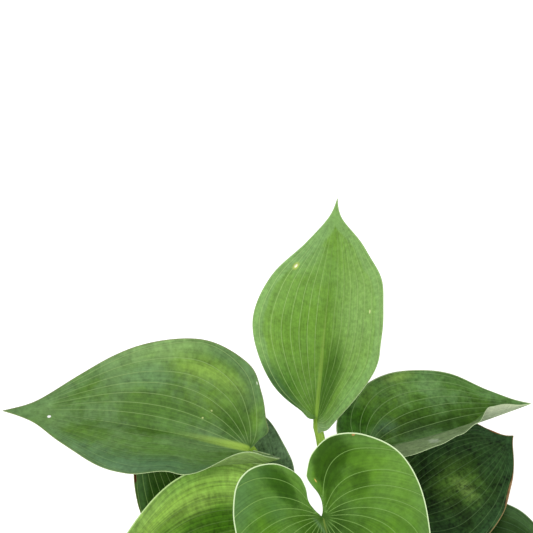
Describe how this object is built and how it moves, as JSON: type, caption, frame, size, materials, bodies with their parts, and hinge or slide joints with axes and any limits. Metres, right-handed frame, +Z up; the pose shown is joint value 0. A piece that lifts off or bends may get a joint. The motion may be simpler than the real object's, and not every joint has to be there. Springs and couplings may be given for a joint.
{
  "type": "potted hosta plant",
  "caption": "Leafy hosta with broad, ribbed, heart-shaped leaves on grooved stalks, growing in a plain tapered clay pot of soil.",
  "frame": {"origin": "middle of the pot's flat foot, on the surface that it stands on", "axes": "+Z up; the picture looks along +Y and down, so -Y is the front with the heart-shaped front leaf, and +X is to its right"},
  "size_m": [0.4427, 0.3033, 0.4738],
  "materials": {
    "clay": "matte",
    "soil": "matte",
    "leaf": "satin"
  },
  "bodies": {
    "root": {"pot": "clay", "soil": "soil", "leaf_back_upright": "leaf", "leaf_left_wide": "leaf", "leaf_front_heart": "leaf", "leaf_front_left": "leaf", "leaf_left_under": "leaf", "leaf_back_left": "leaf", "leaf_right_upper": "leaf", "leaf_right_dark": "leaf", "leaf_right_low": "leaf", "leaf_front_right_low": "leaf", "leaf_front_low": "leaf", "leaf_back_right_low": "leaf", "leaf_back_low": "leaf", "leaf_left_low": "leaf"}
  },
  "joints": []
}
